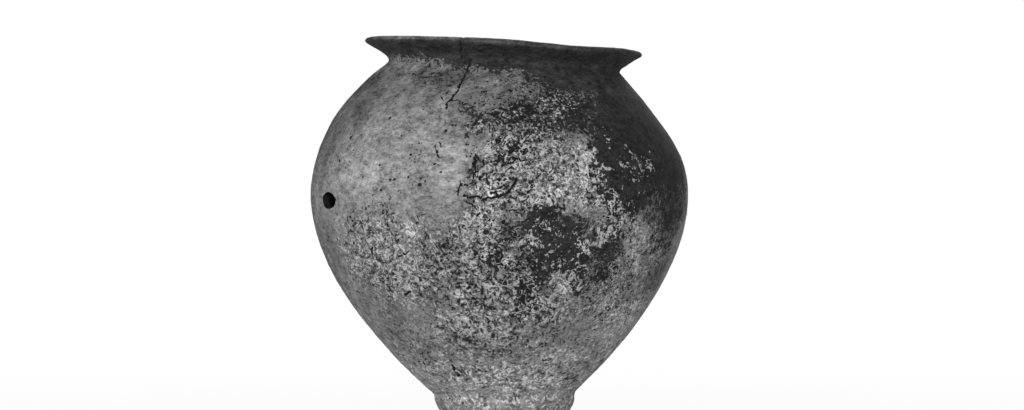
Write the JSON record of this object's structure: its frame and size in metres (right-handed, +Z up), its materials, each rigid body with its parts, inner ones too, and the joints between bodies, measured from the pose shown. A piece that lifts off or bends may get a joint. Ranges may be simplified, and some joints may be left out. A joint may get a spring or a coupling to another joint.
{
  "type": "burial urn",
  "caption": "Wide-bellied hand-built clay burial urn with a low foot, narrow neck, everted rim and a small soul hole pierced through the side of the belly.",
  "frame": {"origin": "on the ground under the middle of the belly, at the bottom centre of the bounding box", "axes": "+Z up; -Y is the front as pictured; -X is the side of the soul hole, and the mouth leans down towards +X"},
  "size_m": [0.3763, 0.3762, 0.3793],
  "materials": {
    "fired_clay": "matte, smoke-fired, pitted, with lime crust and dark fire clouds",
    "sooted_clay": "matte, sooted almost black, rubbed paler along the lip"
  },
  "bodies": {
    "root": {"base_disc": "fired_clay", "foot_ring": "fired_clay", "lower_wall_1": "fired_clay", "lower_wall_2": "fired_clay", "lower_wall_3": "fired_clay", "lower_wall_4": "fired_clay", "lower_wall_5": "fired_clay", "belly_wall": "fired_clay", "shoulder_wall_1": "fired_clay", "shoulder_wall_2": "fired_clay", "shoulder_wall_3": "fired_clay", "rim_collar": "sooted_clay"}
  },
  "joints": []
}
